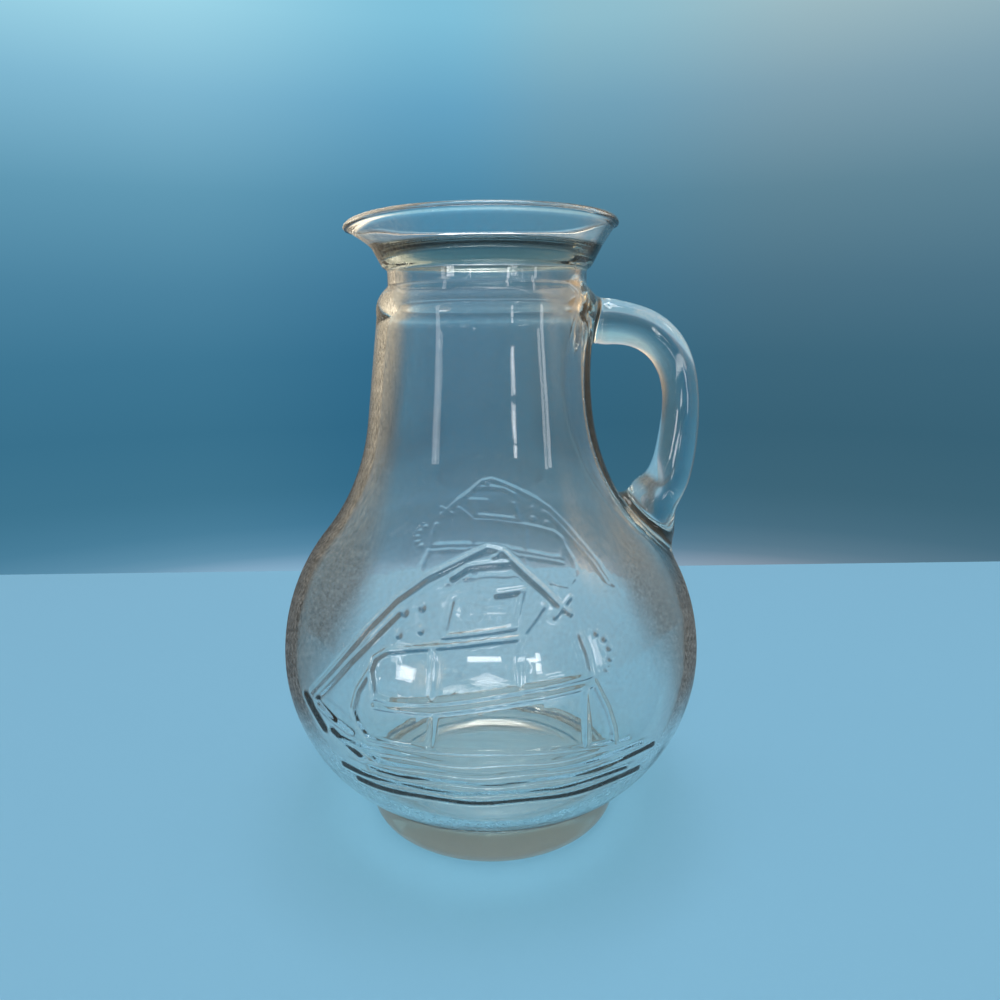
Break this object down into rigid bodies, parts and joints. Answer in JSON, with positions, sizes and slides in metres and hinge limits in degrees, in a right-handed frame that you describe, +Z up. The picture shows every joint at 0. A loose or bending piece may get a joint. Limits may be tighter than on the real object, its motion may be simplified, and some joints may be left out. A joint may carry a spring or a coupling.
{
  "type": "glass pitcher",
  "caption": "Clear glass pitcher with a pear-shaped body, short foot, flared mouth with a gentle spout, one side handle and a raised sailing ship on two faces.",
  "frame": {"origin": "on the body's axis, in the plane that the foot rests on", "axes": "+Z up along the body's axis, +X towards the handle, -X towards the spout, the ship's faces at -Y and +Y"},
  "size_m": [0.1562, 0.1578, 0.22],
  "materials": {
    "clear_glass": "gloss"
  },
  "bodies": {
    "root": {"pitcher": "clear_glass"}
  },
  "joints": []
}
